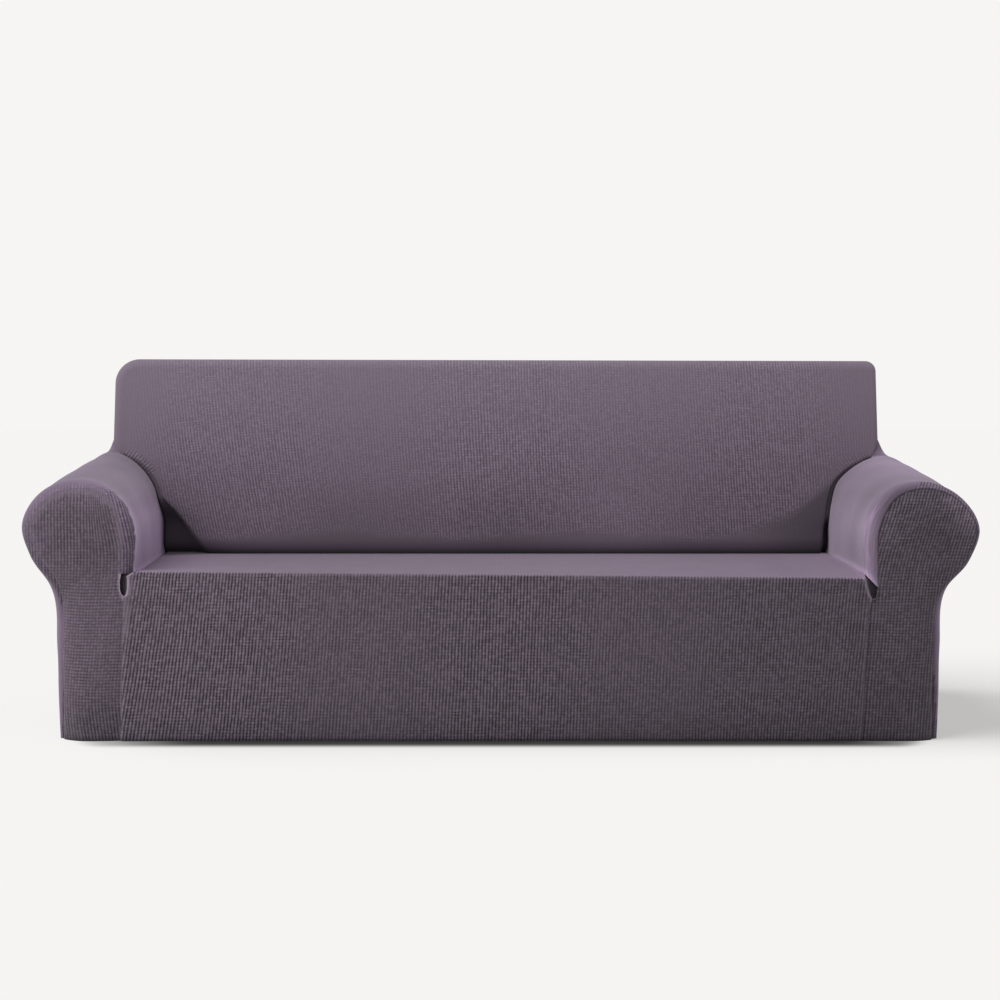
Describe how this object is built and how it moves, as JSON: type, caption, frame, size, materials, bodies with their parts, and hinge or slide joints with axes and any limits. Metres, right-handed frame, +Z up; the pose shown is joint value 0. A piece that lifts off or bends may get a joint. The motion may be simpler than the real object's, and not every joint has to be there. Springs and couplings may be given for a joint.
{
  "type": "sofa slipcover",
  "caption": "Fitted stretch cover for a sofa with a straight back, a flat seat and rolled arms; hollow, open at the hem.",
  "frame": {"origin": "middle of the cover's footprint, on the surface that its hem reaches", "axes": "+X to the viewer's right along the seat, -Y towards the front skirt, +Z up"},
  "size_m": [2.288, 0.88, 0.917],
  "materials": {
    "jacquard": "matt stretch jacquard with a fine small-check rib",
    "smooth_knit": "matt smooth stretch knit, lighter than the jacquard"
  },
  "bodies": {
    "root": {"inside_back": "jacquard", "outside_back": "jacquard", "seat": "smooth_knit", "front_skirt": "jacquard", "arm_left": "smooth_knit", "arm_right": "smooth_knit", "arm_front_left": "jacquard", "arm_front_right": "jacquard"}
  },
  "joints": []
}
